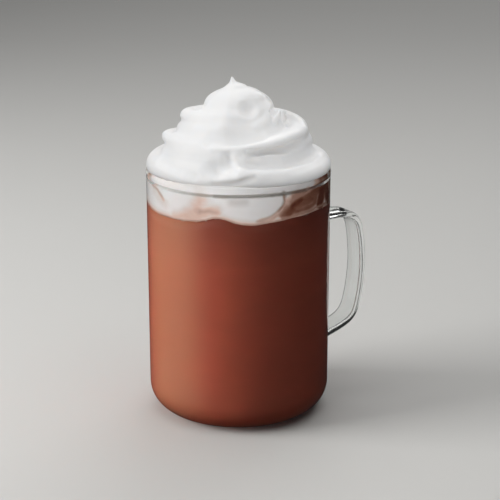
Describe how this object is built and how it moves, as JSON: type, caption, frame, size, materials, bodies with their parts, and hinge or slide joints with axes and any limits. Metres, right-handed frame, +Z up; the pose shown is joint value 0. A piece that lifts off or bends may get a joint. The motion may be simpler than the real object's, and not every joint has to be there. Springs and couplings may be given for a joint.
{
  "type": "caffe mocha",
  "caption": "Chocolate coffee drink in a clear glass mug with a strap handle, heaped with a swirl of whipped cream that melts into it under the rim.",
  "frame": {"origin": "centre of the mug's flat bottom", "axes": "+Z up along the mug's axis; +X towards the handle; +Y to the left of the handle, seen from above with the handle pointing right"},
  "size_m": [0.107, 0.082, 0.1519],
  "materials": {
    "glass": "clear, polished",
    "mocha": "liquid, slightly cloudy",
    "melted_cream": "soft, marbled",
    "whipped_cream": "soft, satin"
  },
  "bodies": {
    "root": {"mug": "glass", "mocha": "mocha", "melted_cream": "melted_cream", "whipped_cream": "whipped_cream"}
  },
  "joints": []
}
